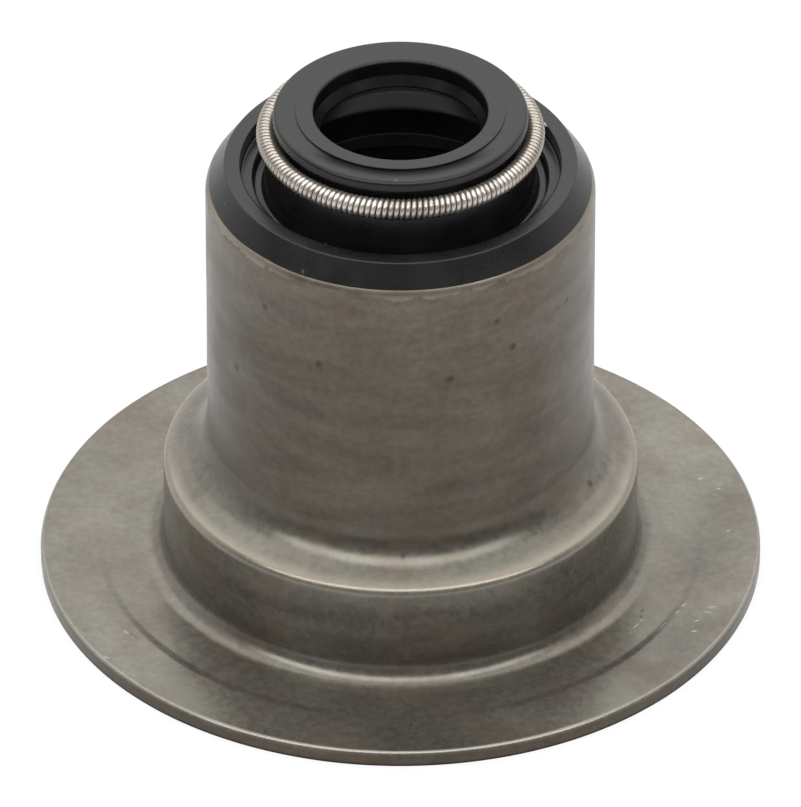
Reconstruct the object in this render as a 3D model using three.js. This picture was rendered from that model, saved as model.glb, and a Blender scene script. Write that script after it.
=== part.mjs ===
// Valve stem seal with an integral seat for the valve spring.
// A drawn steel case carries a moulded rubber seal body, and a garter spring loads the seal's lip.
// Millimetres, +Z up. The flange's underside lies on z = 0 and the axis of the valve stem is x = y = 0.

import * as THREE from "three";

// Valve stem and valve guide that the seal is made for
const STEM_DIAMETER = 6.0;
const GUIDE_DIAMETER = 11.0;

// Steel case
const SHEET = 0.62;
const FLANGE_DIAMETER = 27.0;
const RIM_ROUNDING = 0.17;
const RIM_CUT_ROUNDING = 0.04;
const SEAT_BAND_WIDTH = 2.1;
const SEAT_STEP = 0.05;
const SEAT_STEP_WIDTH = 0.3;
const FOOT_OVERHANG = 1.67;
const FOOT_HEIGHT = 4.48;
const FOOT_FILLET = 0.75;
const FOOT_EDGE_ROUNDING = 0.35;
const SHOULDER_ANGLE = 27;
const SHOULDER_FILLET = 1.5;
const CASE_HEIGHT = 16.98;
const COLLAR_WIDTH = 0.48;
const COLLAR_ROUNDING = 0.5;
const BARE_BEND_ANGLE = 44;
const INNER_ROUNDING = 0.1;
const BORE_END_MARGIN = 0.2;

// Rubber seal body, from the sleeve on the valve guide up to the lip
const SLEEVE_WALL = 0.98;
const SLEEVE_CLEARANCE = 0.1;
const SLEEVE_LENGTH = 9.1;
const SLEEVE_LEAD_IN = 0.5;
const RIB_COUNT = 4;
const RIB_HEIGHT = 0.25;
const RIB_WIDTH = 0.9;
const RIB_ROUNDING = 0.3;
const GUIDE_STOP_THICKNESS = 0.75;
const GUIDE_STOP_ROUNDING = 0.14;
const RING_RISE = 0.67;
const RING_CHAMFER_WIDTH = 0.56;
const RING_WIDTH = 0.6;
const RING_STEP = 0.55;
const LEDGE_WIDTH = 0.46;
const TROUGH_WIDTH = 0.38;
const TROUGH_DEPTH = 1.0;
const TROUGH_ROUNDING = 0.13;
const NECK_WALL = 0.66;
const LIP_HEIGHT = 2.28;
const LIP_INTERFERENCE = 0.05;
const LIP_ROOF_CLEARANCE = 0.2;
const LIP_ROOF_DEPTH = 0.54;
const LIP_CONE_HEIGHT = 0.33;
const LIP_LAND = 0.08;
const THROAT_DROP = 0.2;
const HEAD_WALL = 1.3;
const HEAD_OVERHANG = 0.2;
const HEAD_EDGE_HEIGHT = 0.42;
const OPENING_RIM_WIDTH = 0.67;
const OPENING_RIM_HEIGHT = 0.07;
const OPENING_ROUNDING = 0.12;
const EDGE_ROUNDING = 0.07;

// Garter spring
const SPRING_COIL_DIAMETER = 0.77;
const SPRING_WIRE_DIAMETER = 0.19;
const SPRING_DEPTH = 0.97;
const GROOVE_CLEARANCE = 0.04;
const GROOVE_START_ANGLE = 258;

// Fineness of the faceted surfaces
const TURN_FACETS = 48;
const FACET_DEPTH = 0.022;
const LEAST_ROUNDING = 0.001;
const ROUNDED_SHARE_OF_A_SIDE = 0.49;
const BEND_STEPS = 2;
const GROOVE_STEPS = 4;
const COIL_STEPS = 6;
const WIRE_SIDES = 3;

// Directions of an arc's ends, in degrees
const OUTWARDS = 0;
const UPWARDS = 90;
const INWARDS = 180;

const steel = new THREE.MeshStandardMaterial({ color: 0x757067, metalness: 1.0, roughness: 0.35 });
const rubber = new THREE.MeshStandardMaterial({ color: 0x1a1a1a, metalness: 0.0, roughness: 0.4 });
const springSteel = new THREE.MeshStandardMaterial({ color: 0xc8c3ba, metalness: 1.0, roughness: 0.4 });

// One corner of an outline: its distance from the axis, its height, and how far it is rounded.
function corner(radius, height, rounding = 0) {
  return { point: new THREE.Vector2(radius, height), rounding };
}

// Corners along an arc about (radius, height), from one angle to another in degrees.
function arcCorners(radius, height, arcRadius, fromAngle, toAngle, steps) {
  const corners = [];
  for (let i = 0; i <= steps; i++) {
    const angle = THREE.MathUtils.degToRad(THREE.MathUtils.lerp(fromAngle, toAngle, i / steps));
    corners.push(corner(radius + arcRadius * Math.cos(angle), height + arcRadius * Math.sin(angle)));
  }
  return corners;
}

// The points of a line through corners, each rounded one replaced by an arc that the sides beside it can hold.
function rounded(corners) {
  const points = [corners[0].point];
  for (let i = 1; i < corners.length - 1; i++) {
    const { point, rounding } = corners[i];
    const back = corners[i - 1].point.clone().sub(point);
    const ahead = corners[i + 1].point.clone().sub(point);
    const turn = Math.PI - Math.abs(back.angleTo(ahead));
    const reach = Math.min(
      rounding * Math.tan(turn / 2),
      ROUNDED_SHARE_OF_A_SIDE * back.length(),
      ROUNDED_SHARE_OF_A_SIDE * ahead.length(),
    );
    if (reach < LEAST_ROUNDING) {
      points.push(point);
      continue;
    }
    const radius = reach / Math.tan(turn / 2);
    const start = point.clone().addScaledVector(back.normalize(), reach);
    const end = point.clone().addScaledVector(ahead.normalize(), reach);
    const toCentre = back.add(ahead).setLength(Math.hypot(radius, reach));
    const centre = point.clone().add(toCentre);
    const startAngle = Math.atan2(start.y - centre.y, start.x - centre.x);
    const endAngle = Math.atan2(end.y - centre.y, end.x - centre.x);
    const sweep = Math.atan2(Math.sin(endAngle - startAngle), Math.cos(endAngle - startAngle));
    const stepAngle = 2 * Math.acos(Math.max(0, 1 - FACET_DEPTH / radius));
    const steps = Math.ceil(turn / stepAngle);
    for (let k = 0; k <= steps; k++) {
      const angle = startAngle + (sweep * k) / steps;
      points.push(new THREE.Vector2(
        centre.x + radius * Math.cos(angle),
        centre.y + radius * Math.sin(angle),
      ));
    }
  }
  points.push(corners.at(-1).point);
  return points;
}

// A ring turned about the axis from a closed outline, which runs upwards on its outside.
function turned(name, outline, material) {
  const geometry = new THREE.LatheGeometry([...outline, outline[0]], TURN_FACETS);
  geometry.rotateX(Math.PI / 2);
  const mesh = new THREE.Mesh(geometry, material);
  mesh.name = name;
  return mesh;
}

// Radii and heights that two pieces share
const sleeveBore = GUIDE_DIAMETER / 2 + SLEEVE_CLEARANCE;
const caseBore = sleeveBore + SLEEVE_WALL;
const bodyRadius = caseBore + SHEET;
const collarUnderside = CASE_HEIGHT - SHEET;
const collarBore = caseBore - COLLAR_WIDTH;
const collarBend = {
  radius: bodyRadius - COLLAR_ROUNDING,
  height: CASE_HEIGHT - COLLAR_ROUNDING,
};
const ringTop = CASE_HEIGHT + RING_RISE;
const headTop = ringTop + LIP_HEIGHT;
const openingRadius = STEM_DIAMETER / 2 + LIP_ROOF_CLEARANCE;
const grooveRadius = SPRING_COIL_DIAMETER / 2 + GROOVE_CLEARANCE;
const boreEnd = collarUnderside - BORE_END_MARGIN;
const springRing = {
  radius: openingRadius + HEAD_WALL + grooveRadius,
  height: headTop - SPRING_DEPTH,
};

// The case's turned-in collar as the rubber meets it, from the bore of the case to the end of the bare steel.
const collarInside = rounded([
  corner(caseBore, boreEnd),
  corner(caseBore, collarUnderside, INNER_ROUNDING),
  corner(collarBore, collarUnderside, EDGE_ROUNDING),
  corner(collarBore, CASE_HEIGHT, EDGE_ROUNDING),
  corner(collarBend.radius, CASE_HEIGHT),
]);
const collarCoveredBend = arcCorners(
  collarBend.radius, collarBend.height, COLLAR_ROUNDING, UPWARDS, BARE_BEND_ANGLE, BEND_STEPS,
).map((c) => c.point);
const collarBareBend = arcCorners(
  collarBend.radius, collarBend.height, COLLAR_ROUNDING, BARE_BEND_ANGLE, OUTWARDS, BEND_STEPS,
).map((c) => c.point);
const collar = [...collarInside, ...collarCoveredBend.slice(1)];

// Pressed steel case: a flange for the valve spring, a wider foot, a conical shoulder and a drawn body
function steelCase() {
  const flangeRadius = FLANGE_DIAMETER / 2;
  const seatInner = flangeRadius - SEAT_BAND_WIDTH;
  const seatFloor = SHEET - SEAT_STEP;
  const footRadius = bodyRadius + FOOT_OVERHANG;
  const slope = Math.tan(THREE.MathUtils.degToRad(SHOULDER_ANGLE));
  const shoulderHeight = FOOT_HEIGHT + FOOT_OVERHANG * slope;
  // How much lower the inside of a bend lies where the sheet leans over by the shoulder's angle
  const bendDrop = SHEET * Math.tan(THREE.MathUtils.degToRad((UPWARDS - SHOULDER_ANGLE) / 2));
  const outside = rounded([
    corner(seatInner, 0),
    corner(flangeRadius, 0, RIM_CUT_ROUNDING),
    corner(flangeRadius, SHEET, RIM_ROUNDING),
    corner(seatInner, SHEET),
    corner(seatInner - SEAT_STEP_WIDTH, seatFloor),
    corner(footRadius, seatFloor, FOOT_FILLET),
    corner(footRadius, FOOT_HEIGHT, FOOT_EDGE_ROUNDING),
    corner(bodyRadius, shoulderHeight, SHOULDER_FILLET),
    corner(bodyRadius, collarBend.height),
  ]);
  const inside = rounded([
    corner(caseBore, boreEnd),
    corner(caseBore, shoulderHeight - bendDrop, SHOULDER_FILLET + SHEET),
    corner(footRadius - SHEET, FOOT_HEIGHT - bendDrop, INNER_ROUNDING),
    corner(footRadius - SHEET, 0, FOOT_FILLET + SHEET),
    corner(seatInner, 0),
  ]);
  const bareBend = collarBareBend.toReversed().slice(1);
  const collarBack = collar.toReversed().slice(1, -1);
  return turned(
    "steel_case",
    [...outside, ...bareBend, ...collarBack, ...inside.slice(0, -1)],
    steel,
  );
}

// Moulded rubber seal body: a ribbed sleeve, a stop for the guide, a ring over the collar, a neck and the lip
function rubberSealBody() {
  const collarEnd = collar.at(-1);
  const ringOuter = collarEnd.x - RING_CHAMFER_WIDTH;
  const ringInner = ringOuter - RING_WIDTH;
  const ledgeInner = ringInner - LEDGE_WIDTH;
  const neckFoot = ledgeInner - TROUGH_WIDTH;
  const ledgeHeight = ringTop - RING_STEP;
  const troughFloor = ringTop - TROUGH_DEPTH;
  const guideStop = troughFloor - GUIDE_STOP_THICKNESS;
  const grooveFloor = springRing.radius - grooveRadius;
  const headRadius = grooveFloor + HEAD_OVERHANG;
  const headUnderside = headTop - HEAD_EDGE_HEIGHT;
  const grooveArc = arcCorners(
    springRing.radius, springRing.height, grooveRadius, GROOVE_START_ANGLE, INWARDS, GROOVE_STEPS,
  );
  const outside = [
    corner(collarEnd.x, collarEnd.y),
    corner(ringOuter, ringTop, EDGE_ROUNDING),
    corner(ringInner, ringTop, EDGE_ROUNDING),
    corner(ringInner, ledgeHeight, EDGE_ROUNDING),
    corner(ledgeInner, ledgeHeight, EDGE_ROUNDING),
    corner(ledgeInner, troughFloor, TROUGH_ROUNDING),
    corner(neckFoot, troughFloor, TROUGH_ROUNDING),
    corner(springRing.radius, springRing.height - grooveRadius - EDGE_ROUNDING, EDGE_ROUNDING),
    ...grooveArc,
    corner(grooveFloor, headUnderside, EDGE_ROUNDING),
    corner(headRadius, headUnderside, EDGE_ROUNDING),
    corner(headRadius, headTop, EDGE_ROUNDING),
    corner(openingRadius + OPENING_RIM_WIDTH, headTop),
    corner(openingRadius + OPENING_RIM_WIDTH, headTop + OPENING_RIM_HEIGHT),
  ];

  const lipRadius = STEM_DIAMETER / 2 - LIP_INTERFERENCE;
  const lipRoof = headTop - LIP_ROOF_DEPTH;
  const lipTop = lipRoof - LIP_CONE_HEIGHT;
  const throatRadius = openingRadius + HEAD_WALL / 2;
  const throatHeight = springRing.height - grooveRadius - THROAT_DROP;
  const chamberRadius = neckFoot - NECK_WALL;
  const inside = [
    corner(openingRadius, headTop + OPENING_RIM_HEIGHT, OPENING_ROUNDING),
    corner(openingRadius, lipRoof),
    corner(lipRadius, lipTop),
    corner(lipRadius, lipTop - LIP_LAND),
    corner(throatRadius, throatHeight, HEAD_WALL),
    corner(chamberRadius, ledgeHeight, NECK_WALL),
    corner(chamberRadius, guideStop, EDGE_ROUNDING),
    corner(sleeveBore, guideStop, GUIDE_STOP_ROUNDING),
  ];

  const sleeveBottom = guideStop - SLEEVE_LENGTH;
  const ribPitch = SLEEVE_LENGTH / (RIB_COUNT + 1);
  const ribs = [];
  for (let i = RIB_COUNT; i >= 1; i--) {
    const ribHeight = sleeveBottom + i * ribPitch;
    ribs.push(
      corner(sleeveBore, ribHeight + RIB_WIDTH / 2),
      corner(sleeveBore - RIB_HEIGHT, ribHeight, RIB_ROUNDING),
      corner(sleeveBore, ribHeight - RIB_WIDTH / 2),
    );
  }

  const mouth = [
    corner(sleeveBore, sleeveBottom + SLEEVE_LEAD_IN),
    corner(sleeveBore + SLEEVE_LEAD_IN, sleeveBottom),
    corner(caseBore, sleeveBottom),
  ];
  const rubberSurface = rounded([...outside, ...inside, ...ribs, ...mouth]);
  return turned("rubber_seal_body", [...rubberSurface, ...collar.slice(0, -1)], rubber);
}

// The wire's centre line: a helix wound round a ring, with whole turns so that it closes on itself
class GarterCoil extends THREE.Curve {
  constructor(ring, coilRadius, turns) {
    super();
    this.ring = ring;
    this.coilRadius = coilRadius;
    this.turns = turns;
    this.arcLengthDivisions = turns * COIL_STEPS;
  }

  getPoint(t, target = new THREE.Vector3()) {
    const around = 2 * Math.PI * t;
    const winding = around * this.turns;
    const radius = this.ring.radius + this.coilRadius * Math.cos(winding);
    return target.set(
      radius * Math.cos(around),
      radius * Math.sin(around),
      this.ring.height + this.coilRadius * Math.sin(winding),
    );
  }
}

// Garter spring: close-wound steel wire, whose turns touch on the inside of the ring
function garterSpring() {
  const coilRadius = (SPRING_COIL_DIAMETER - SPRING_WIRE_DIAMETER) / 2;
  const innerRound = 2 * Math.PI * (springRing.radius - coilRadius);
  const turns = Math.floor(innerRound / SPRING_WIRE_DIAMETER);
  const wire = new THREE.TubeGeometry(
    new GarterCoil(springRing, coilRadius, turns),
    turns * COIL_STEPS,
    SPRING_WIRE_DIAMETER / 2,
    WIRE_SIDES,
    true,
  );
  const mesh = new THREE.Mesh(wire, springSteel);
  mesh.name = "garter_spring";
  return mesh;
}

const seal = new THREE.Group();
seal.add(steelCase(), rubberSealBody(), garterSpring());

export default seal;
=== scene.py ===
import math

import bpy
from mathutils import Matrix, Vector, noise


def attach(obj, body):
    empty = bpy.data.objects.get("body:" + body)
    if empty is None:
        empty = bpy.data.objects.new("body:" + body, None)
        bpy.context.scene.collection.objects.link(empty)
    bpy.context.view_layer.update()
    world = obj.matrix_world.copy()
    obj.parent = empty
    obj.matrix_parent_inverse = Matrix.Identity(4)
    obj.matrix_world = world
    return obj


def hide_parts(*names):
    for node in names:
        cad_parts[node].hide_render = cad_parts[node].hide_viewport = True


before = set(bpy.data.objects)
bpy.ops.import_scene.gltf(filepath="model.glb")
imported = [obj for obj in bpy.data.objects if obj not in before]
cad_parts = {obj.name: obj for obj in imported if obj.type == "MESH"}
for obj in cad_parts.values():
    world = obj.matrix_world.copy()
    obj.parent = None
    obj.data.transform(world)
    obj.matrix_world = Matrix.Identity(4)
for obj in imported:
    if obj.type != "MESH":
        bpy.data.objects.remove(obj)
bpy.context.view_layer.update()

# Steel case
# A cup drawn from sheet steel 0.62 mm thick, then pickled: a flange that the valve spring stands on, a wider
# foot, a conical shoulder and the body. Its rim is turned in as a collar that the rubber is moulded round.

MM = 0.001
SHEET = 0.62
FLANGE_RADIUS = 13.5
RIM_ROUNDING = 0.17
RIM_CUT_ROUNDING = 0.04
SEAT_INNER = 11.4
SEAT_STEP = 0.05
SEAT_STEP_WIDTH = 0.3
SEAT_STEP_ROUNDING = 0.6
FOOT_RADIUS = 8.87
FOOT_HEIGHT = 4.48
FOOT_FILLET = 0.75
FOOT_EDGE_ROUNDING = 0.35
SHOULDER_ANGLE = math.radians(27)
SHOULDER_FILLET = 1.5
BODY_RADIUS = 7.2
CASE_BORE = 6.58
CASE_HEIGHT = 16.98
COLLAR_BORE = 6.1
COLLAR_ROUNDING = 0.5
BARE_BEND_ANGLE = math.radians(44)
INNER_ROUNDING = 0.1
BORE_END_MARGIN = 0.2
EDGE_ROUNDING = 0.07
CASE_FACETS = 288
ARC_STEP = math.radians(7.5)
ARC_SIDE = 0.09
LEAST_ROUNDING = 0.001
ROUNDED_SHARE_OF_A_SIDE = 0.49
EDGE_SUPPORT = 0.025
SHORTEST_SUPPORTED = 6 * EDGE_SUPPORT
LONGEST_SIDE = 0.5
CREASE_ANGLE = math.radians(32)


def arc(radius, height, bend, start, end):
    """The points of an arc about (radius, height), from the angle start to the angle end."""
    steps = max(2, math.ceil(abs(end - start) / ARC_STEP), math.ceil(bend * abs(end - start) / ARC_SIDE))
    points = []
    for k in range(steps + 1):
        angle = start + (end - start) * k / steps
        points.append(Vector((radius + bend * math.cos(angle), height + bend * math.sin(angle))))
    return points


def rounded(corners):
    """A line through corners of radius, height and rounding; its two ends stay sharp."""
    points = [Vector(corners[0][:2])]
    for before, here, after in zip(corners, corners[1:], corners[2:]):
        point = Vector(here[:2])
        back = Vector(before[:2]) - point
        ahead = Vector(after[:2]) - point
        turn = math.pi - back.angle(ahead)
        room = ROUNDED_SHARE_OF_A_SIDE * min(back.length, ahead.length)
        reach = min(here[2] * math.tan(turn / 2), room)
        if reach < LEAST_ROUNDING:
            points.append(point)
            continue
        bend = reach / math.tan(turn / 2)
        centre = point + (back.normalized() + ahead.normalized()).normalized() * math.hypot(bend, reach)
        start = point + back.normalized() * reach - centre
        end = point + ahead.normalized() * reach - centre
        start_angle = math.atan2(start.y, start.x)
        sweep = math.atan2(start.cross(end), start.dot(end))
        points.extend(arc(centre.x, centre.y, bend, start_angle, start_angle + sweep))
    points.append(Vector(corners[-1][:2]))
    return points


def supported(outline):
    """A closed outline with points beside the ends of its long sides, so that they shade flat."""
    points = []
    for here, after in zip(outline, outline[1:] + outline[:1]):
        length = (after - here).length
        points.append(here)
        if length < SHORTEST_SUPPORTED:
            continue
        parts = max(1, math.ceil(length / LONGEST_SIDE))
        stops = [EDGE_SUPPORT / length]
        stops += [k / parts for k in range(1, parts)]
        stops += [1 - EDGE_SUPPORT / length]
        points.extend(here.lerp(after, stop) for stop in stops)
    return points


def turned(name, outline, facets, unevenness, grain):
    """A smooth ring turned about the stem's axis, a little uneven as a pressed or moulded piece is."""
    outline = supported(outline)
    count = len(outline)
    vertices = []
    for i in range(facets):
        angle = 2 * math.pi * i / facets
        across = Vector((math.cos(angle), math.sin(angle), 0))
        for radius, height in outline:
            place = across * radius
            place.z = height
            pull = unevenness * (noise.noise(place * grain) - 1) / 2
            place += across * pull
            vertices.append(place * MM)
    faces = []
    for i in range(facets):
        here = i * count
        beside = (i + 1) % facets * count
        for k in range(count):
            above = (k + 1) % count
            faces.append((here + k, beside + k, beside + above, here + above))
    mesh = bpy.data.meshes.new(name)
    mesh.from_pydata(vertices, [], faces)
    mesh.polygons.foreach_set("use_smooth", [True] * len(faces))
    mesh.set_sharp_from_angle(angle=CREASE_ANGLE)
    piece = bpy.data.objects.new(name, mesh)
    bpy.context.collection.objects.link(piece)
    return piece


# How much lower the inside of a bend lies where the sheet leans over by the shoulder's angle
bend_drop = SHEET * math.tan((math.pi / 2 - SHOULDER_ANGLE) / 2)
shoulder_height = FOOT_HEIGHT + (FOOT_RADIUS - BODY_RADIUS) * math.tan(SHOULDER_ANGLE)
collar_underside = CASE_HEIGHT - SHEET
bore_end = collar_underside - BORE_END_MARGIN
bend_radius = BODY_RADIUS - COLLAR_ROUNDING
bend_height = CASE_HEIGHT - COLLAR_ROUNDING

case_outside = rounded([
    (SEAT_INNER, 0, 0),
    (FLANGE_RADIUS, 0, RIM_CUT_ROUNDING),
    (FLANGE_RADIUS, SHEET, RIM_ROUNDING),
    (SEAT_INNER, SHEET, SEAT_STEP_ROUNDING),
    (SEAT_INNER - SEAT_STEP_WIDTH, SHEET - SEAT_STEP, SEAT_STEP_ROUNDING),
    (FOOT_RADIUS, SHEET - SEAT_STEP, FOOT_FILLET),
    (FOOT_RADIUS, FOOT_HEIGHT, FOOT_EDGE_ROUNDING),
    (BODY_RADIUS, shoulder_height, SHOULDER_FILLET),
    (BODY_RADIUS, bend_height, 0),
])
bare_bend = arc(bend_radius, bend_height, COLLAR_ROUNDING, 0, BARE_BEND_ANGLE)
covered_bend = arc(bend_radius, bend_height, COLLAR_ROUNDING, BARE_BEND_ANGLE, math.pi / 2)
collar_back = rounded([
    (bend_radius, CASE_HEIGHT, 0),
    (COLLAR_BORE, CASE_HEIGHT, EDGE_ROUNDING),
    (COLLAR_BORE, collar_underside, EDGE_ROUNDING),
    (CASE_BORE, collar_underside, INNER_ROUNDING),
    (CASE_BORE, bore_end, 0),
])
case_inside = rounded([
    (CASE_BORE, bore_end, 0),
    (CASE_BORE, shoulder_height - bend_drop, SHOULDER_FILLET + SHEET),
    (FOOT_RADIUS - SHEET, FOOT_HEIGHT - bend_drop, INNER_ROUNDING),
    (FOOT_RADIUS - SHEET, 0, FOOT_FILLET + SHEET),
    (SEAT_INNER, 0, 0),
])
case = turned(
    "case_with_flange",
    case_outside + bare_bend[1:] + covered_bend[1:] + collar_back[1:] + case_inside[1:-1],
    CASE_FACETS,
    unevenness=0.02,
    grain=0.3,
)


def new_material(name):
    """A material with its shader, and short ways to add a node to it and to join two sockets."""
    material = bpy.data.materials.new(name)
    material.use_nodes = True
    tree = material.node_tree
    shader = tree.nodes["Principled BSDF"]

    def add(kind, **settings):
        node = tree.nodes.new(kind)
        for key, value in settings.items():
            if key in node.inputs:
                node.inputs[key].default_value = value
            else:
                setattr(node, key, value)
        return node

    return material, shader, add, tree.links.new


def place_of(add, link, stretch):
    """The piece's own coordinates, stretched along x, y and z."""
    coordinates = add("ShaderNodeTexCoord")
    mapping = add("ShaderNodeMapping")
    mapping.inputs["Scale"].default_value = stretch
    link(coordinates.outputs["Object"], mapping.inputs["Vector"])
    return mapping.outputs["Vector"]


def mottle(add, link, place, scale, low, high, detail=4.0, roughness=0.55):
    """Soft patches between 0 and 1: noise whose values from low to high are spread out."""
    patches = add("ShaderNodeTexNoise", Scale=scale, Detail=detail, Roughness=roughness)
    link(place, patches.inputs["Vector"])
    spread = add("ShaderNodeMapRange", interpolation_type="SMOOTHSTEP")
    spread.inputs["From Min"].default_value = low
    spread.inputs["From Max"].default_value = high
    link(patches.outputs["Fac"], spread.inputs["Value"])
    return spread.outputs["Result"]


def blended(add, link, amount, first, second):
    """A colour that goes from first to second with amount; each may be a colour or a socket."""
    mix = add("ShaderNodeMix", data_type="RGBA")
    link(amount, mix.inputs["Factor"])
    for name, colour in (("A", first), ("B", second)):
        socket = next(s for s in mix.inputs if s.name == name and s.type == "RGBA")
        if isinstance(colour, tuple):
            socket.default_value = colour
        else:
            link(colour, socket)
    return next(s for s in mix.outputs if s.type == "RGBA")


def reckoned(add, link, operation, *terms):
    """A sum node: each term is a number or a socket."""
    node = add("ShaderNodeMath", operation=operation)
    for socket, term in zip(node.inputs, terms):
        if isinstance(term, (int, float)):
            socket.default_value = term
        else:
            link(term, socket)
    return node.outputs["Value"]


PICKLED_GREY = (0.190, 0.178, 0.150, 1)
PICKLED_OLIVE = (0.158, 0.151, 0.125, 1)
BROWN_TARNISH = (0.172, 0.142, 0.115, 1)
# Painted shade for the body's wall, tinted browner, lighter near its top
WALL_PAINTED_SHADE = (0.64, 0.595, 0.555, 1)
UPPER_WALL_PAINTED_SHADE = (0.80, 0.75, 0.72, 1)
# The cut side's shade is partly painted shade, and the cut edge's partly a painted contact shadow
RIM_SIDE_CUT_AND_PAINTED_SHADE = (0.50, 0.45, 0.40, 1)
CUT_EDGE_BURR_AND_PAINTED_SHADOW = (0.25, 0.23, 0.21, 1)
PIT_BROWN = (0.050, 0.042, 0.034, 1)
# Bright steel for rubbed chips and for the painted highlight on the rim's top
WORN_STEEL_AND_HIGHLIGHT = (0.42, 0.40, 0.36, 1)
# Brown for the painted highlight on the foot's fold and on the strip below the rubber
HIGHLIGHT_BROWN = (0.35, 0.31, 0.25, 1)
SMUDGE_SHARE = 0.28
TARNISH_SHARE = 0.7
PIT_SHARE = 0.7
NICK_SHARE = 0.75
CHIP_SHARE = 0.6
# Spans of height and radius over which a darker cut side, a painted shade or a painted highlight comes in,
# in millimetres
UPPER_WALL_SPAN = (11.5, 16.5)
RIM_SIDE_BELOW = (0.54, 0.45)
RIM_SIDE_BEYOND = (13.30, 13.38)
CUT_EDGE_BELOW = (0.16, 0.04)
RIM_TOP_BEYOND = (13.34, 13.41)
RIM_TOP_ABOVE = (0.50, 0.56)
RIM_TOP_BELOW = (0.9, 0.7)
RIM_HIGHLIGHT_SHARE = 0.45
FOLD_ABOVE = (4.30, 4.42)
FOLD_BELOW = (4.80, 4.55)
FOLD_HIGHLIGHT_SHARE = 0.55
# The painted highlight on the bend below the rubber
HIGHLIGHT_STRIP_HEIGHT = 0.58
HIGHLIGHT_STRIP_RAGGEDNESS = 0.28
HIGHLIGHT_STRIP_SPAN = (-0.03, 0.07)
HIGHLIGHT_STRIP_LEAST = 0.10
HIGHLIGHT_STRIP_PATCHES = 0.42
# Nicks and rubbed chips on the flange: x and y in millimetres, half length, half width and turn in degrees
DARK_NICKS = ((8.98, -4.60, 0.20, 0.07, 60), (8.95, -4.95, 0.12, 0.06, 100), (-9.9, -6.2, 0.30, 0.05, -50))
BRIGHT_CHIPS = (
    (8.98, -5.20, 0.10, 0.08, 20), (8.75, -5.55, 0.22, 0.05, 50), (8.60, -5.95, 0.16, 0.05, 35),
    (10.55, -4.30, 0.16, 0.06, 60), (10.30, -4.75, 0.20, 0.05, 60), (9.75, -5.55, 0.35, 0.04, 55),
    (11.60, -4.42, 0.26, 0.04, 5), (11.43, -4.75, 0.20, 0.05, -15), (11.00, -5.30, 0.14, 0.05, 30),
    (10.90, -5.95, 0.18, 0.05, 20), (11.30, 3.75, 0.12, 0.07, 30), (12.00, 3.10, 0.10, 0.06, 0),
    (12.30, 0.40, 0.10, 0.05, 20), (-10.2, -6.0, 0.20, 0.05, -50), (-10.9, -7.6, 0.16, 0.05, -30),
)

steel, shader, add, link = new_material("pickled_steel")
own_place = place_of(add, link, (1, 1, 1))
draw_place = place_of(add, link, (0.22, 0.22, 1))
steel_parts = add("ShaderNodeSeparateXYZ")
link(own_place, steel_parts.inputs["Vector"])

broad = mottle(add, link, own_place, scale=150, low=0.35, high=0.65)
warm = mottle(add, link, own_place, scale=420, low=0.40, high=0.64, detail=6)
fine = mottle(add, link, own_place, scale=3200, low=0.30, high=0.75, detail=3)
draw = mottle(add, link, draw_place, scale=1500, low=0.30, high=0.72, detail=3)

colour = blended(add, link, broad, PICKLED_GREY, PICKLED_OLIVE)
colour = blended(add, link, reckoned(add, link, "MULTIPLY", warm, TARNISH_SHARE), colour, BROWN_TARNISH)
smudge = mottle(add, link, draw_place, scale=620, low=0.52, high=0.72, detail=5, roughness=0.65)
colour = blended(add, link, reckoned(add, link, "MULTIPLY", smudge, SMUDGE_SHARE), colour, PIT_BROWN)
shade = add("ShaderNodeMapRange")
shade.inputs["To Min"].default_value = 0.76
shade.inputs["To Max"].default_value = 1.21
link(reckoned(add, link, "ADD", reckoned(add, link, "MULTIPLY", fine, 0.5),
              reckoned(add, link, "MULTIPLY", draw, 0.5)), shade.inputs["Value"])
tone = add("ShaderNodeVectorMath", operation="SCALE")
link(colour, tone.inputs[0])
link(shade.outputs["Result"], tone.inputs["Scale"])
colour = tone.outputs["Vector"]

pit_cells = add("ShaderNodeTexVoronoi", Scale=700.0, Randomness=1.0)
link(own_place, pit_cells.inputs["Vector"])
pit_rarity = mottle(add, link, own_place, scale=900, low=0.54, high=0.62, detail=2)
pit_edge = add("ShaderNodeMapRange", interpolation_type="SMOOTHSTEP")
pit_edge.inputs["From Min"].default_value = 0.16
pit_edge.inputs["From Max"].default_value = 0.05
link(pit_cells.outputs["Distance"], pit_edge.inputs["Value"])
pits = reckoned(add, link, "MULTIPLY", pit_edge.outputs["Result"], pit_rarity)
colour = blended(add, link, reckoned(add, link, "MULTIPLY", pits, PIT_SHARE), colour, PIT_BROWN)


def marks_at(add, link, place, marks):
    """Small oval marks, each 1 in its middle and 0 outside, and broken up by a fine noise."""
    total = None
    frayed = mottle(add, link, place, scale=6000, low=0.25, high=0.60, detail=2)
    for x, y, half_length, half_width, turn in marks:
        mark = add("ShaderNodeMapping", vector_type="TEXTURE")
        mark.inputs["Location"].default_value = (x * MM, y * MM, SHEET * MM)
        mark.inputs["Rotation"].default_value = (0, 0, math.radians(turn))
        mark.inputs["Scale"].default_value = (half_length * MM, half_width * MM, 0.4 * MM)
        link(place, mark.inputs["Vector"])
        reach = add("ShaderNodeVectorMath", operation="LENGTH")
        link(mark.outputs["Vector"], reach.inputs[0])
        inside = add("ShaderNodeMapRange", interpolation_type="SMOOTHSTEP")
        inside.inputs["From Min"].default_value = 1.15
        inside.inputs["From Max"].default_value = 0.35
        link(reach.outputs["Value"], inside.inputs["Value"])
        one = inside.outputs["Result"]
        total = one if total is None else reckoned(add, link, "MAXIMUM", total, one)
    return reckoned(add, link, "MULTIPLY", total, frayed)


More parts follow.
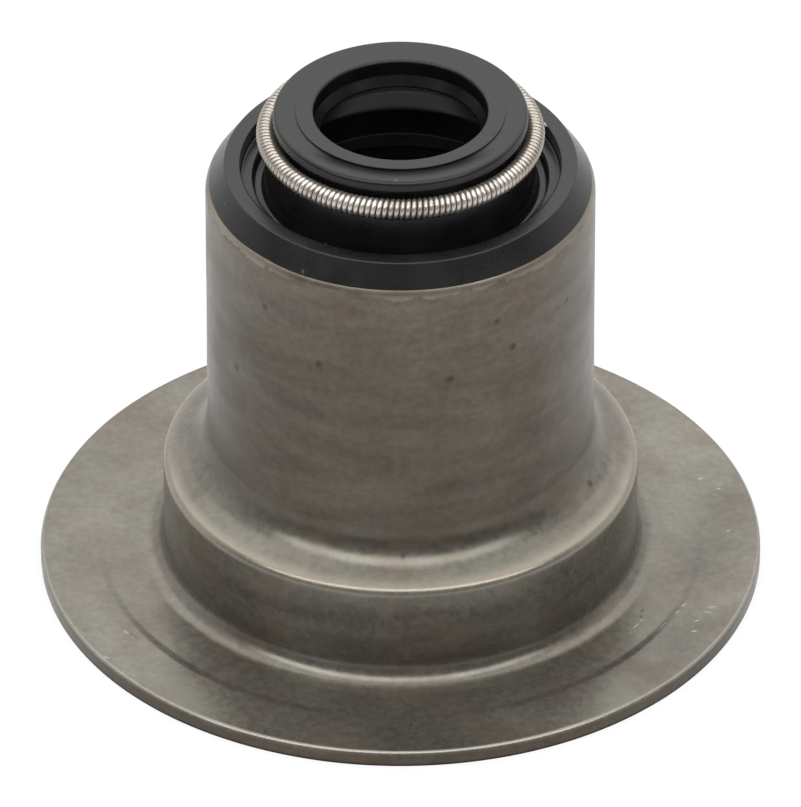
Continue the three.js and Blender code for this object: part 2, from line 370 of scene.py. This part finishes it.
nicks = marks_at(add, link, own_place, DARK_NICKS)
chips = marks_at(add, link, own_place, BRIGHT_CHIPS)
colour = blended(add, link, reckoned(add, link, "MULTIPLY", nicks, NICK_SHARE), colour, PIT_BROWN)
colour = blended(add, link, reckoned(add, link, "MULTIPLY", chips, CHIP_SHARE), colour, WORN_STEEL_AND_HIGHLIGHT)



def step_up(add, link, value, span):
    """0 before a span in millimetres, 1 after it, and smooth between; a span may also run downwards."""
    start, end = span
    step = add("ShaderNodeMapRange", interpolation_type="SMOOTHSTEP")
    step.inputs["From Min"].default_value = start * MM
    step.inputs["From Max"].default_value = end * MM
    link(value, step.inputs["Value"])
    return step.outputs["Result"]


def axis_distance(add, link, place):
    """How far a place is from the stem's axis."""
    flat_place = add("ShaderNodeVectorMath", operation="MULTIPLY")
    link(place, flat_place.inputs[0])
    flat_place.inputs[1].default_value = (1, 1, 0)
    distance = add("ShaderNodeVectorMath", operation="LENGTH")
    link(flat_place.outputs["Vector"], distance.inputs[0])
    return distance.outputs["Value"]


def shaded(add, link, amount, colour, shade):
    """The colour multiplied by shade, as far as amount says."""
    mix = add("ShaderNodeMix", data_type="RGBA", blend_type="MULTIPLY")
    link(amount, mix.inputs["Factor"])
    sockets = [s for s in mix.inputs if s.type == "RGBA"]
    link(colour, sockets[0])
    if isinstance(shade, tuple):
        sockets[1].default_value = shade
    else:
        link(shade, sockets[1])
    return next(s for s in mix.outputs if s.type == "RGBA")


# Painted shade: the drawn wall of the body is painted darker and browner than the flange and the shoulder,
# its lower part most
height = steel_parts.outputs["Z"]
wall = step_up(add, link, height, (shoulder_height - 0.2, shoulder_height + 0.5))
upper = step_up(add, link, height, UPPER_WALL_SPAN)
wall_painted_shade = blended(add, link, upper, WALL_PAINTED_SHADE, UPPER_WALL_PAINTED_SHADE)
colour = shaded(add, link, wall, colour, wall_painted_shade)

# The cut side of the flange is darker, partly as a rough sheared surface and partly as painted shade; its
# burred lower edge is darkest, partly as a painted contact shadow
side = step_up(add, link, height, RIM_SIDE_BELOW)
from_axis = axis_distance(add, link, own_place)
side = reckoned(add, link, "MULTIPLY", side, step_up(add, link, from_axis, RIM_SIDE_BEYOND))
colour = shaded(add, link, side, colour, RIM_SIDE_CUT_AND_PAINTED_SHADE)
cut_edge_burr_and_shadow = reckoned(add, link, "MULTIPLY", side, step_up(add, link, height, CUT_EDGE_BELOW))
colour = shaded(add, link, cut_edge_burr_and_shadow, colour, CUT_EDGE_BURR_AND_PAINTED_SHADOW)

# The last strip below the rubber, on the bend, gets a patchy painted highlight up to a ragged line
ragged = mottle(add, link, own_place, scale=900, low=0.30, high=0.70, detail=6, roughness=0.7)
strip_start = (CASE_HEIGHT - HIGHLIGHT_STRIP_HEIGHT) * MM
strip_highlight_from = reckoned(add, link, "MULTIPLY_ADD", ragged, HIGHLIGHT_STRIP_RAGGEDNESS * MM, strip_start)
strip_highlight = step_up(add, link, reckoned(add, link, "SUBTRACT", height, strip_highlight_from), HIGHLIGHT_STRIP_SPAN)
patchy = mottle(add, link, own_place, scale=170, low=0.30, high=0.66, detail=2)
strip_highlight_share = reckoned(add, link, "MULTIPLY_ADD", patchy, HIGHLIGHT_STRIP_PATCHES, HIGHLIGHT_STRIP_LEAST)
colour = blended(add, link, reckoned(add, link, "MULTIPLY", strip_highlight, strip_highlight_share), colour, HIGHLIGHT_BROWN)

# The flange's upper rim and the foot's fold get a painted highlight
rim_painted_highlight = reckoned(add, link, "MULTIPLY", step_up(add, link, from_axis, RIM_TOP_BEYOND),
                   step_up(add, link, height, RIM_TOP_ABOVE))
rim_painted_highlight = reckoned(add, link, "MULTIPLY", rim_painted_highlight, step_up(add, link, height, RIM_TOP_BELOW))
colour = blended(add, link, reckoned(add, link, "MULTIPLY", rim_painted_highlight, RIM_HIGHLIGHT_SHARE), colour, WORN_STEEL_AND_HIGHLIGHT)
fold_painted_highlight = reckoned(add, link, "MULTIPLY", step_up(add, link, height, FOLD_ABOVE),
                step_up(add, link, height, FOLD_BELOW))
colour = blended(add, link, reckoned(add, link, "MULTIPLY", fold_painted_highlight, FOLD_HIGHLIGHT_SHARE), colour, HIGHLIGHT_BROWN)
link(colour, shader.inputs["Base Color"])

gloss = add("ShaderNodeMapRange")
gloss.inputs["To Min"].default_value = 0.24
gloss.inputs["To Max"].default_value = 0.36
link(reckoned(add, link, "ADD", reckoned(add, link, "MULTIPLY", warm, 0.5),
              reckoned(add, link, "MULTIPLY", fine, 0.5)), gloss.inputs["Value"])
link(reckoned(add, link, "MULTIPLY_ADD", wall, 0.06, gloss.outputs["Result"]), shader.inputs["Roughness"])
shader.inputs["Metallic"].default_value = 0.7

relief = reckoned(add, link, "ADD", reckoned(add, link, "MULTIPLY", fine, 0.6), draw)
relief = reckoned(add, link, "SUBTRACT", relief, reckoned(add, link, "MULTIPLY", pits, 1.5))
relief = reckoned(add, link, "SUBTRACT", relief, reckoned(add, link, "MULTIPLY", nicks, 3.0))
bump = add("ShaderNodeBump", Strength=0.5, Distance=0.0025 * MM)
link(relief, bump.inputs["Height"])
link(bump.outputs["Normal"], shader.inputs["Normal"])

case.data.materials.append(steel)
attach(case, "root")
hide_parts("steel_case")

# Rubber seal body
# One moulding of black fluoro rubber, cured onto the case: the ring over the collar, the thin neck, the head
# with its groove and sealing lip, and inside the case the stop and the ribbed sleeve that grip the guide.

SLEEVE_BORE = 5.6
SLEEVE_LENGTH = 9.1
SLEEVE_LEAD_IN = 0.5
RIB_COUNT = 4
RIB_HEIGHT = 0.25
RIB_WIDTH = 0.9
RIB_ROUNDING = RIB_WIDTH / 3
RIB_FOOT_ROUNDING = 0.1
GUIDE_STOP_THICKNESS = 0.75
GUIDE_STOP_ROUNDING = 0.14
RING_TOP = 17.65
RING_OUTER = 6.5
RING_INNER = 5.9
RING_STEP = 0.55
LEDGE_INNER = 5.44
TROUGH_WIDTH = 0.38
TROUGH_DEPTH = 1.0
TROUGH_ROUNDING = TROUGH_WIDTH / 3
NECK_WALL = 0.66
HEAD_TOP = 19.93
LIP_RADIUS = 2.95
LIP_ROOF_DEPTH = 0.54
LIP_CONE_HEIGHT = 0.33
LIP_LAND = 0.08
LIP_ROUNDING = 0.03
THROAT_DROP = 0.2
OPENING_RADIUS = 3.2
OPENING_RIM_WIDTH = 0.67
OPENING_RIM_HEIGHT = 0.07
OPENING_STEP_ROUNDING = 0.02
OPENING_ROUNDING = 0.12
HEAD_WALL = 1.3
HEAD_OVERHANG = 0.2
HEAD_EDGE_HEIGHT = 0.42
HEAD_EDGE_ROUNDING = 0.17
SPRING_RING_RADIUS = 4.925
SPRING_RING_HEIGHT = 18.96
GROOVE_RADIUS = 0.425
GROOVE_START = math.radians(258)
RUBBER_FACETS = 256

bond = bare_bend[-1]
neck_foot = LEDGE_INNER - TROUGH_WIDTH
ledge_height = RING_TOP - RING_STEP
trough_floor = RING_TOP - TROUGH_DEPTH
guide_stop = trough_floor - GUIDE_STOP_THICKNESS
groove_floor = SPRING_RING_RADIUS - GROOVE_RADIUS
head_radius = groove_floor + HEAD_OVERHANG
head_underside = HEAD_TOP - HEAD_EDGE_HEIGHT
opening_rim = OPENING_RADIUS + OPENING_RIM_WIDTH
lip_roof = HEAD_TOP - LIP_ROOF_DEPTH
lip_height = lip_roof - LIP_CONE_HEIGHT
chamber_radius = neck_foot - NECK_WALL
sleeve_bottom = guide_stop - SLEEVE_LENGTH
throat_height = SPRING_RING_HEIGHT - GROOVE_RADIUS - THROAT_DROP

groove = arc(SPRING_RING_RADIUS, SPRING_RING_HEIGHT, GROOVE_RADIUS, GROOVE_START, math.pi)
seal_corners = [
    (bond.x, bond.y, 0),
    (RING_OUTER, RING_TOP, EDGE_ROUNDING),
    (RING_INNER, RING_TOP, EDGE_ROUNDING),
    (RING_INNER, ledge_height, EDGE_ROUNDING),
    (LEDGE_INNER, ledge_height, EDGE_ROUNDING),
    (LEDGE_INNER, trough_floor, TROUGH_ROUNDING),
    (neck_foot, trough_floor, TROUGH_ROUNDING),
    (SPRING_RING_RADIUS, SPRING_RING_HEIGHT - GROOVE_RADIUS - EDGE_ROUNDING, EDGE_ROUNDING),
]
seal_corners += [(point.x, point.y, 0) for point in groove]
seal_corners += [
    (groove_floor, head_underside, EDGE_ROUNDING),
    (head_radius, head_underside, EDGE_ROUNDING),
    (head_radius, HEAD_TOP, HEAD_EDGE_ROUNDING),
    (opening_rim, HEAD_TOP, OPENING_STEP_ROUNDING),
    (opening_rim, HEAD_TOP + OPENING_RIM_HEIGHT, OPENING_STEP_ROUNDING),
    (OPENING_RADIUS, HEAD_TOP + OPENING_RIM_HEIGHT, OPENING_ROUNDING),
    (OPENING_RADIUS, lip_roof, LIP_ROUNDING),
    (LIP_RADIUS, lip_height, LIP_ROUNDING),
    (LIP_RADIUS, lip_height - LIP_LAND, LIP_ROUNDING),
    (OPENING_RADIUS + HEAD_WALL / 2, throat_height, HEAD_WALL),
    (chamber_radius, ledge_height, NECK_WALL),
    (chamber_radius, guide_stop, EDGE_ROUNDING),
    (SLEEVE_BORE, guide_stop, GUIDE_STOP_ROUNDING),
]
for i in range(RIB_COUNT, 0, -1):
    rib_height = sleeve_bottom + i * SLEEVE_LENGTH / (RIB_COUNT + 1)
    seal_corners += [
        (SLEEVE_BORE, rib_height + RIB_WIDTH / 2, RIB_FOOT_ROUNDING),
        (SLEEVE_BORE - RIB_HEIGHT, rib_height, RIB_ROUNDING),
        (SLEEVE_BORE, rib_height - RIB_WIDTH / 2, RIB_FOOT_ROUNDING),
    ]
seal_corners += [
    (SLEEVE_BORE, sleeve_bottom + SLEEVE_LEAD_IN, EDGE_ROUNDING),
    (SLEEVE_BORE + SLEEVE_LEAD_IN, sleeve_bottom, EDGE_ROUNDING),
    (CASE_BORE, sleeve_bottom, 0),
]
collar_covered = list(reversed(covered_bend[1:] + collar_back[1:]))
seal = turned(
    "moulded_seal_body",
    rounded(seal_corners) + collar_covered,
    RUBBER_FACETS,
    unevenness=0.012,
    grain=0.8,
)

FRESH_BLACK = (0.006, 0.006, 0.006, 1)
BLOOM_GREY = (0.011, 0.011, 0.0105, 1)
DUST_GREY = (0.16, 0.15, 0.13, 1)
DUST_SHARE = 0.6
SHEEN = 0.35
LEAST_SHEEN = 0.05
# Sheen taken away as painted shade inside the lip and the bore
INNER_PAINTED_SHADE_LOSS = 0.24
# Sheen taken away as painted shade on the front of the head
FRONT_PAINTED_SHADE_LOSS = 0.34
# Spans of height, radius and depth over which painted shade lowers the sheen, in millimetres
OPENING_WALL_WITHIN = (3.32, 3.22)
OPENING_WALL_BELOW = (HEAD_TOP - 0.10, HEAD_TOP - 0.22)
LIP_BELOW = (lip_height, lip_height - 0.06)
CHAMBER_WITHIN = (4.45, 4.38)
FRONT_SHADE_BEFORE = (-2.2, -3.3)
FRONT_SHADE_ABOVE = (19.3, 19.5)
FRONT_SHADE_BEYOND = (3.80, 3.87)
FRONT_SHADE_WITHIN = (4.45, 3.95)

rubber, shader, add, link = new_material("black_fluoro_rubber")
own_place = place_of(add, link, (1, 1, 1))
bloom = mottle(add, link, own_place, scale=420, low=0.35, high=0.70)
grain = mottle(add, link, own_place, scale=5200, low=0.25, high=0.75, detail=3)
specks = add("ShaderNodeTexVoronoi", Scale=1100.0)
link(own_place, specks.inputs["Vector"])
speck_rarity = mottle(add, link, own_place, scale=1300, low=0.64, high=0.68, detail=1)
speck_edge = add("ShaderNodeMapRange")
speck_edge.inputs["From Min"].default_value = 0.11
speck_edge.inputs["From Max"].default_value = 0.05
link(specks.outputs["Distance"], speck_edge.inputs["Value"])
dust = reckoned(add, link, "MULTIPLY", speck_edge.outputs["Result"], speck_rarity)
colour = blended(add, link, bloom, FRESH_BLACK, BLOOM_GREY)
colour = blended(add, link, reckoned(add, link, "MULTIPLY", dust, DUST_SHARE), colour, DUST_GREY)
link(colour, shader.inputs["Base Color"])

# Painted shade: the inside of the lip and the bore are given far less sheen than the outside
rubber_parts = add("ShaderNodeSeparateXYZ")
link(own_place, rubber_parts.inputs["Vector"])
from_axis = axis_distance(add, link, own_place)
within = step_up(add, link, from_axis, OPENING_WALL_WITHIN)
beneath = step_up(add, link, rubber_parts.outputs["Z"], OPENING_WALL_BELOW)
deep = step_up(add, link, rubber_parts.outputs["Z"], LIP_BELOW)
hollow = step_up(add, link, from_axis, CHAMBER_WITHIN)
inner_painted_shade = reckoned(add, link, "MAXIMUM", reckoned(add, link, "MULTIPLY", within, beneath),
                 reckoned(add, link, "MULTIPLY", deep, hollow))

# Painted shade: the front of the head, just outside the opening's raised rim, is given less sheen
front_painted_shade = step_up(add, link, rubber_parts.outputs["Y"], FRONT_SHADE_BEFORE)
for value, span in (
    (rubber_parts.outputs["Z"], FRONT_SHADE_ABOVE),
    (from_axis, FRONT_SHADE_BEYOND),
    (from_axis, FRONT_SHADE_WITHIN),
):
    front_painted_shade = reckoned(add, link, "MULTIPLY", front_painted_shade, step_up(add, link, value, span))
sheen_with_painted_shade = reckoned(add, link, "MULTIPLY_ADD", inner_painted_shade, -INNER_PAINTED_SHADE_LOSS, SHEEN)
sheen_with_painted_shade = reckoned(add, link, "MULTIPLY_ADD", front_painted_shade, -FRONT_PAINTED_SHADE_LOSS, sheen_with_painted_shade)
sheen_with_painted_shade = reckoned(add, link, "MAXIMUM", sheen_with_painted_shade, LEAST_SHEEN)
link(sheen_with_painted_shade, shader.inputs["Specular IOR Level"])
satin = add("ShaderNodeMapRange")
satin.inputs["To Min"].default_value = 0.24
satin.inputs["To Max"].default_value = 0.34
link(reckoned(add, link, "MULTIPLY_ADD", bloom, 0.5, reckoned(add, link, "MULTIPLY", grain, 0.5)),
     satin.inputs["Value"])
link(satin.outputs["Result"], shader.inputs["Roughness"])
bump = add("ShaderNodeBump", Strength=0.2, Distance=0.001 * MM)
link(grain, bump.inputs["Height"])
link(bump.outputs["Normal"], shader.inputs["Normal"])

seal.data.materials.append(rubber)
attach(seal, "root")
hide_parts("rubber_seal_body")

# Garter spring
# Bright spring wire 0.19 mm thick, wound close and bent into a ring, with one end screwed into the other.
# The cut end of its last turn stands out a little at the joint. It lies in the head's groove.

COIL_RADIUS = 0.29
WIRE_RADIUS = 0.095
COIL_TURNS = 153
STEPS_A_TURN = 20
WIRE_SIDES = 8
JOINT_ANGLE = math.radians(5.6)
END_LENGTH = 0.17
END_STEPS = 4
END_DROP = 0.05
END_RISE = 0.5
WINDING_UNEVENNESS = 0.5
WINDING_GRAIN = 9
WIRE_CREASE_ANGLE = math.radians(60)


def wire(path, sides, closed):
    """The vertices and faces of a round wire along path, a list of middles and of ways out from the coil."""
    vertices = []
    faces = []
    count = len(path)
    for k, (middle, out) in enumerate(path):
        before = path[k - 1 if closed or k else 0][0]
        after = path[(k + 1) % count if closed else min(k + 1, count - 1)][0]
        along = (after - before).normalized()
        side = along.cross(out).normalized()
        lift = side.cross(along)
        for n in range(sides):
            angle = 2 * math.pi * n / sides
            vertices.append(middle + (lift * math.cos(angle) + side * math.sin(angle)) * WIRE_RADIUS)
    for k in range(count if closed else count - 1):
        here = k * sides
        beside = (k + 1) % count * sides
        for n in range(sides):
            turn = (n + 1) % sides
            faces.append((here + n, here + turn, beside + turn, beside + n))
    if not closed:
        faces.append(tuple(reversed(range(sides))))
        faces.append(tuple(range((count - 1) * sides, count * sides)))
    return vertices, faces


coil_path = []
for k in range(COIL_TURNS * STEPS_A_TURN):
    around = 2 * math.pi * k / (COIL_TURNS * STEPS_A_TURN)
    across = Vector((math.cos(around), math.sin(around), 0))
    winding = around * COIL_TURNS + WINDING_UNEVENNESS * noise.noise(across * WINDING_GRAIN)
    out = across * math.cos(winding) + Vector((0, 0, math.sin(winding)))
    ring_place = across * SPRING_RING_RADIUS + Vector((0, 0, SPRING_RING_HEIGHT))
    coil_path.append((ring_place + out * COIL_RADIUS, out))
vertices, faces = wire(coil_path, WIRE_SIDES, closed=True)

across = Vector((math.cos(JOINT_ANGLE), math.sin(JOINT_ANGLE), 0))
end_start = across * (SPRING_RING_RADIUS + COIL_RADIUS) + Vector((0, 0, SPRING_RING_HEIGHT - END_DROP))
end_way = (across + Vector((0, 0, END_RISE))).normalized()
end_path = []
for k in range(END_STEPS + 1):
    end_path.append((end_start + end_way * END_LENGTH * k / END_STEPS, Vector((-across.y, across.x, 0))))
end_vertices, end_faces = wire(end_path, WIRE_SIDES, closed=False)
faces += [tuple(n + len(vertices) for n in face) for face in end_faces]
vertices += end_vertices

mesh = bpy.data.meshes.new("wound_garter_spring")
mesh.from_pydata([place * MM for place in vertices], [], faces)
mesh.polygons.foreach_set("use_smooth", [True] * len(faces))
mesh.set_sharp_from_angle(angle=WIRE_CREASE_ANGLE)
spring = bpy.data.objects.new("wound_garter_spring", mesh)
bpy.context.collection.objects.link(spring)

DRAWN_WIRE = (0.68, 0.635, 0.59, 1)
DULL_WIRE = (0.42, 0.38, 0.335, 1)
DULL_SIDE_SPAN = (3.4, 5.0)

spring_wire, shader, add, link = new_material("drawn_spring_wire")
own_place = place_of(add, link, (1, 1, 1))
tarnish_and_dull_sides = mottle(add, link, own_place, scale=700, low=0.40, high=0.75)
spring_parts = add("ShaderNodeSeparateXYZ")
link(own_place, spring_parts.inputs["Vector"])
sideways = reckoned(add, link, "ABSOLUTE", spring_parts.outputs["X"])
# The wire is also made duller towards its left and right sides, not only where it is tarnished
tarnish_and_dull_sides = reckoned(add, link, "MAXIMUM", tarnish_and_dull_sides, step_up(add, link, sideways, DULL_SIDE_SPAN))
scratch = mottle(add, link, own_place, scale=9000, low=0.25, high=0.75, detail=2)
link(blended(add, link, tarnish_and_dull_sides, DRAWN_WIRE, DULL_WIRE), shader.inputs["Base Color"])
polish = add("ShaderNodeMapRange")
polish.inputs["To Min"].default_value = 0.26
polish.inputs["To Max"].default_value = 0.38
link(scratch, polish.inputs["Value"])
link(polish.outputs["Result"], shader.inputs["Roughness"])
shader.inputs["Metallic"].default_value = 0.85
bump = add("ShaderNodeBump", Strength=0.3, Distance=0.001 * MM)
link(scratch, bump.inputs["Height"])
link(bump.outputs["Normal"], shader.inputs["Normal"])

spring.data.materials.append(spring_wire)
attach(spring, "root")
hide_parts("garter_spring")

# Table
# A wide white sheet that the seal stands on. The camera and the steel see it as plain white paper,
# and it still takes the seal's soft shadow.

TABLE_HALF = 2.0
TABLE_GAP = 0.01
PAPER_WHITE = (0.86, 0.86, 0.86, 1)
PAPER_GLOW = 1.0
PAPER_SHADOW_SHARE = 0.12

mesh = bpy.data.meshes.new("table")
mesh.from_pydata(
    [
        (-TABLE_HALF, -TABLE_HALF, 0),
        (TABLE_HALF, -TABLE_HALF, 0),
        (TABLE_HALF, TABLE_HALF, 0),
        (-TABLE_HALF, TABLE_HALF, 0),
    ],
    [],
    [(0, 1, 2, 3)],
)
table = bpy.data.objects.new("table", mesh)
table.location.z = -TABLE_GAP * MM
bpy.context.collection.objects.link(table)
paper, shader, add, link = new_material("white_paper")
shader.inputs["Base Color"].default_value = PAPER_WHITE
shader.inputs["Roughness"].default_value = 0.9
glow = add("ShaderNodeEmission", Strength=PAPER_GLOW)
seen = add("ShaderNodeMixShader")
rays = add("ShaderNodeLightPath")
plain_rays = reckoned(add, link, "MAXIMUM", rays.outputs["Is Camera Ray"],
                      reckoned(add, link, "MAXIMUM", rays.outputs["Is Glossy Ray"],
                               rays.outputs["Is Transmission Ray"]))
link(reckoned(add, link, "MULTIPLY", plain_rays, 1 - PAPER_SHADOW_SHARE), seen.inputs["Fac"])
link(shader.outputs["BSDF"], seen.inputs[1])
link(glow.outputs["Emission"], seen.inputs[2])
link(seen.outputs["Shader"], paper.node_tree.nodes["Material Output"].inputs["Surface"])
table.data.materials.append(paper)

# Light
# Soft studio light: a wide diffuser above and in front, a second one above and behind, and the white room.

ROOM_DIM = 0.22
ROOM_WHITE = 0.76
ROOM_CHANGES_OVER = 0.25
DIFFUSER_DISTANCE = 0.45
DIFFUSER_AIM_HEIGHT = 0.01

world = bpy.data.worlds.new("white_room")
world.use_nodes = True
bpy.context.scene.world = world
room = world.node_tree.nodes["Background"]


def add(kind, **settings):
    node = world.node_tree.nodes.new(kind)
    for key, value in settings.items():
        setattr(node, key, value)
    return node


link = world.node_tree.links.new
way = add("ShaderNodeTexCoord")
way_parts = add("ShaderNodeSeparateXYZ")
link(way.outputs["Generated"], way_parts.inputs["Vector"])
behind = add("ShaderNodeMapRange", interpolation_type="SMOOTHSTEP")
behind.inputs["From Min"].default_value = -ROOM_CHANGES_OVER
behind.inputs["From Max"].default_value = ROOM_CHANGES_OVER
link(way_parts.outputs["Y"], behind.inputs["Value"])
rays = add("ShaderNodeLightPath")
mirrored = reckoned(add, link, "MAXIMUM", rays.outputs["Is Glossy Ray"], rays.outputs["Is Transmission Ray"])
mirrored = reckoned(add, link, "MULTIPLY", mirrored, behind.outputs["Result"])
seen = reckoned(add, link, "MAXIMUM", rays.outputs["Is Camera Ray"], mirrored)
dim = reckoned(add, link, "MULTIPLY_ADD", behind.outputs["Result"], ROOM_WHITE - ROOM_DIM, ROOM_DIM)
link(reckoned(add, link, "MAXIMUM", seen, dim), room.inputs["Strength"])
room.inputs["Color"].default_value = (1, 1, 1, 1)


def diffuser(name, azimuth, elevation, width, height, radiance):
    """A soft panel of light that looks at the seal, as bright as radiance where a mirror would show it."""
    lamp = bpy.data.lights.new(name, "AREA")
    lamp.shape = "RECTANGLE"
    lamp.size = width
    lamp.size_y = height
    # A square metre of panel takes four watts for a radiance of one
    lamp.energy = radiance * 4 * width * height
    panel = bpy.data.objects.new(name, lamp)
    way = Vector((
        math.cos(elevation) * math.sin(azimuth),
        -math.cos(elevation) * math.cos(azimuth),
        math.sin(elevation),
    ))
    panel.location = way * DIFFUSER_DISTANCE + Vector((0, 0, DIFFUSER_AIM_HEIGHT))
    panel.rotation_euler = way.to_track_quat("Z", "Y").to_euler()
    bpy.context.collection.objects.link(panel)


diffuser(
    "top_diffuser",
    azimuth=math.radians(180),
    elevation=math.radians(65),
    width=0.85,
    height=0.64,
    radiance=0.78,
)
diffuser(
    "front_diffuser",
    azimuth=0,
    elevation=math.radians(64),
    width=1.0,
    height=0.20,
    radiance=2.8,
)

# Camera
# It stands 35 degrees above the table and 0.5 m away, with a long lens, as in the photograph.

LENS = 609.1
CAMERA_PLACE = (0.0, -0.4143, 0.3017)
CAMERA_DOWN_TILT = math.radians(35.4465)

camera_data = bpy.data.cameras.new("camera")
camera_data.lens = LENS
camera = bpy.data.objects.new("camera", camera_data)
camera.location = CAMERA_PLACE
camera.rotation_euler = (math.pi / 2 - CAMERA_DOWN_TILT, 0, 0)
bpy.context.collection.objects.link(camera)
bpy.context.scene.camera = camera
bpy.context.scene.view_settings.view_transform = "Standard"
